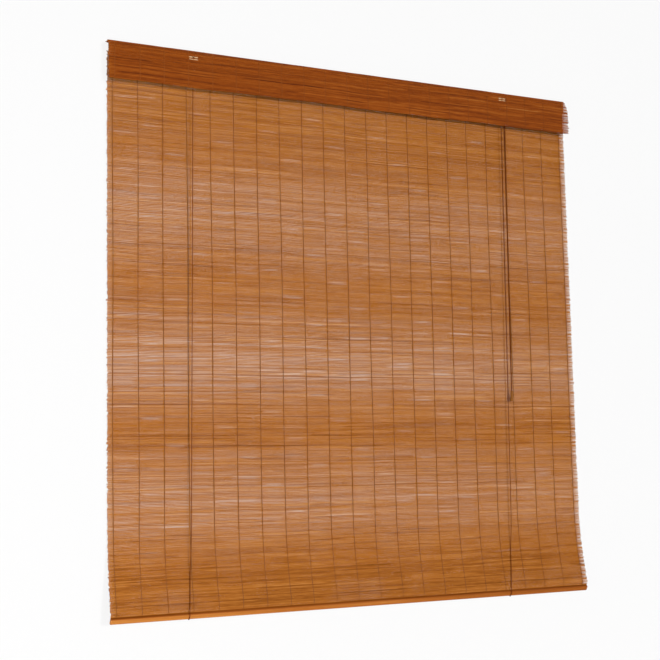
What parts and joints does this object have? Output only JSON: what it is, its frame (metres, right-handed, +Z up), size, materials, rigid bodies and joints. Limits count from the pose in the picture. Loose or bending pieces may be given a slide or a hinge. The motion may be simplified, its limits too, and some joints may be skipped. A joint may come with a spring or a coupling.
{
  "type": "roll-up blind",
  "caption": "Woven bamboo splint blind hung from a wooden head rail with a short valance; cord loops under its foot rail lift it through a pulley and a cord lock to a tasselled pull cord.",
  "frame": {"origin": "on the wall, midway between the two wall screws", "axes": "+X to the right as seen from the room, +Y into the wall, +Z up"},
  "size_m": [1.51, 0.0403, 1.542],
  "materials": {
    "pale_wood": "planed, unfinished",
    "valance_bamboo": "stained, satin",
    "mat_bamboo": "stained, matt",
    "stained_wood": "stained, satin",
    "thread": "spun thread",
    "cord": "braided cord",
    "steel": "stamped, plated",
    "wheel_plastic": "moulded",
    "brass": "knurled"
  },
  "bodies": {
    "head": {"head_rail": "pale_wood", "valance": "valance_bamboo", "valance_threads": "thread", "mat": "mat_bamboo", "warp_threads": "thread", "pulley_bracket": "steel", "pulley_pin": "steel", "lock_housing": "steel", "lock_pin": "steel", "bracket_screws": "steel", "valance_staples": "steel", "mat_staples": "steel", "tie_end_left": "cord", "tie_end_right": "cord", "cord_knots": "cord", "lift_cord_left": "cord", "lift_cord_right": "cord", "head_cord_left": "cord", "head_cord_right": "cord", "pull_cord_left": "cord", "pull_cord_right": "cord", "tassel": "stained_wood", "tassel_knot": "cord"},
    "foot": {"foot_rail": "stained_wood", "foot_staples": "steel"},
    "guide_wheel": {"pulley_wheel": "wheel_plastic"},
    "cord_wheel": {"lock_wheel": "wheel_plastic"},
    "roller": {"lock_roller": "brass"}
  },
  "joints": [
    {"name": "lift", "type": "slide", "parent": "head", "child": "foot", "axis": [0, 0, 1], "range_m": [0, 1.36], "deforming": ["mat", "warp_threads", "lift_cord_left", "lift_cord_right"]},
    {"name": "guide_wheel_turn", "type": "hinge", "parent": "head", "child": "guide_wheel", "pos_m": [-0.5039, -0.0185, -0.027], "axis": [0, 1, 0], "continuous": true},
    {"name": "cord_wheel_turn", "type": "hinge", "parent": "head", "child": "cord_wheel", "pos_m": [0.5161, -0.0165, -0.027], "axis": [0, 1, 0], "continuous": true},
    {"name": "roller_travel", "type": "slide", "parent": "head", "child": "roller", "axis": [-0.6, 0, 0.8], "range_m": [0, 0.007]}
  ],
  "couplings": [
    {"joint": "guide_wheel_turn", "follows": "lift", "rad_per_m": 327.87},
    {"joint": "cord_wheel_turn", "follows": "lift", "rad_per_m": 327.87}
  ]
}
